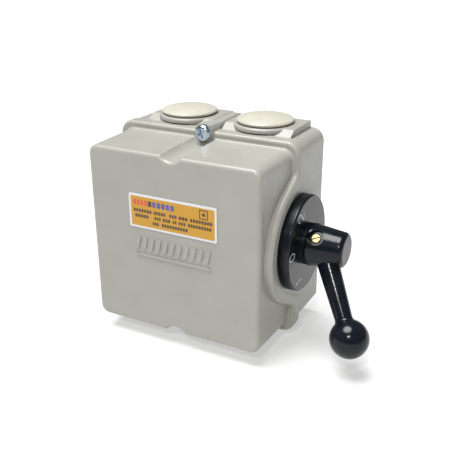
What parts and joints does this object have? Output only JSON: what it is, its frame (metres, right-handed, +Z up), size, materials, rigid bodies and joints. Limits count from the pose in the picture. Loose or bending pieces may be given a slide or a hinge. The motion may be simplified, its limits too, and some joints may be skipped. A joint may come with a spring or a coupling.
{
  "type": "motor starter switch",
  "caption": "Manual rotary motor switch in a grey cast metal enclosure, with a black ball lever and a numbered dial on its side, an orange rating label and plugged conduit entries.",
  "frame": {"origin": "centre of the rear face, where it bears on the wall, level with the middle of the cover", "axes": "+X towards the lever side, +Y back into the wall, +Z up"},
  "size_m": [0.1827, 0.0857, 0.14],
  "materials": {
    "housing_paint": "semi-gloss light grey enamel on a die-casting",
    "seal_rubber": "matt moulded rubber",
    "zinc_steel": "zinc plated, slightly blue",
    "plug_plastic": "moulded cream plastic",
    "label_print": "printed adhesive label",
    "dial_plastic": "black moulded phenolic",
    "numeral_paint": "white paint filled into the recesses",
    "lever_plastic": "polished black phenolic",
    "turned_brass": "turned",
    "shaft_steel": "turned",
    "spring_steel": "drawn and tempered",
    "block_plastic": "moulded phenolic",
    "cam_plastic": "moulded nylon",
    "contact_copper": "pressed copper"
  },
  "bodies": {
    "enclosure": {"base_housing": "housing_paint", "front_cover": "housing_paint", "cover_seal": "seal_rubber", "cover_screws": "zinc_steel", "left_entry_plug": "plug_plastic", "right_entry_plug": "plug_plastic", "rating_label": "label_print", "dial_plate": "dial_plastic", "dial_numerals": "numeral_paint", "dial_screws": "zinc_steel", "shaft_bush": "turned_brass", "shaft_seal": "seal_rubber", "switch_mounting_screws": "zinc_steel", "detent_housing": "block_plastic", "detent_spring": "spring_steel", "end_plate": "block_plastic", "tie_bolts": "zinc_steel", "tie_nuts": "zinc_steel", "earth_screw": "zinc_steel", "earth_washer": "turned_brass", "upper_fixed_contacts": "contact_copper", "upper_terminal_screws": "zinc_steel", "lower_fixed_contacts": "contact_copper", "lower_terminal_screws": "zinc_steel", "contact_block_1": "block_plastic", "upper_spring_1": "spring_steel", "lower_spring_1": "spring_steel", "contact_block_2": "block_plastic", "upper_spring_2": "spring_steel", "lower_spring_2": "spring_steel", "contact_block_3": "block_plastic", "upper_spring_3": "spring_steel", "lower_spring_3": "spring_steel"},
    "handle": {"handle_lever": "lever_plastic", "handle_insert": "turned_brass", "handle_set_screw": "turned_brass", "switch_shaft": "shaft_steel", "retaining_ring": "spring_steel", "detent_wheel": "cam_plastic", "cam_1": "cam_plastic", "cam_2": "cam_plastic", "cam_3": "cam_plastic"},
    "upper_contact_1": {"upper_plunger_1": "cam_plastic", "upper_bridge_1": "contact_copper"},
    "upper_contact_2": {"upper_plunger_2": "cam_plastic", "upper_bridge_2": "contact_copper"},
    "upper_contact_3": {"upper_plunger_3": "cam_plastic", "upper_bridge_3": "contact_copper"},
    "lower_contact_1": {"lower_plunger_1": "cam_plastic", "lower_bridge_1": "contact_copper"},
    "lower_contact_2": {"lower_plunger_2": "cam_plastic", "lower_bridge_2": "contact_copper"},
    "lower_contact_3": {"lower_plunger_3": "cam_plastic", "lower_bridge_3": "contact_copper"}
  },
  "joints": [
    {"name": "handle_turn", "type": "hinge", "parent": "enclosure", "child": "handle", "pos_m": [0, -0.0399, 0.0005], "axis": [-1, 0, 0], "range_deg": [0, 120], "deforming": ["detent_spring"]},
    {"name": "upper_contact_1_slide", "type": "slide", "parent": "enclosure", "child": "upper_contact_1", "axis": [0, 0, 1], "range_m": [0, 0.00305], "deforming": ["upper_spring_1"]},
    {"name": "upper_contact_2_slide", "type": "slide", "parent": "enclosure", "child": "upper_contact_2", "axis": [0, 0, 1], "range_m": [0, 0.00305], "deforming": ["upper_spring_2"]},
    {"name": "upper_contact_3_slide", "type": "slide", "parent": "enclosure", "child": "upper_contact_3", "axis": [0, 0, 1], "range_m": [0, 0.00305], "deforming": ["upper_spring_3"]},
    {"name": "lower_contact_1_slide", "type": "slide", "parent": "enclosure", "child": "lower_contact_1", "axis": [0, 0, 1], "range_m": [0, 0.00305], "deforming": ["lower_spring_1"]},
    {"name": "lower_contact_2_slide", "type": "slide", "parent": "enclosure", "child": "lower_contact_2", "axis": [0, 0, 1], "range_m": [0, 0.00305], "deforming": ["lower_spring_2"]},
    {"name": "lower_contact_3_slide", "type": "slide", "parent": "enclosure", "child": "lower_contact_3", "axis": [0, 0, 1], "range_m": [0, 0.00305], "deforming": ["lower_spring_3"]}
  ],
  "couplings": [
    {"joint": "upper_contact_1_slide", "follows": "handle_turn", "m_per_rad": 0.0014324},
    {"joint": "upper_contact_2_slide", "follows": "handle_turn", "m_per_rad": 0.0014324},
    {"joint": "upper_contact_3_slide", "follows": "handle_turn", "m_per_rad": 0.0014324},
    {"joint": "lower_contact_1_slide", "follows": "handle_turn", "m_per_rad": 0.0014324},
    {"joint": "lower_contact_2_slide", "follows": "handle_turn", "m_per_rad": 0.0014324},
    {"joint": "lower_contact_3_slide", "follows": "handle_turn", "m_per_rad": 0.0014324}
  ]
}
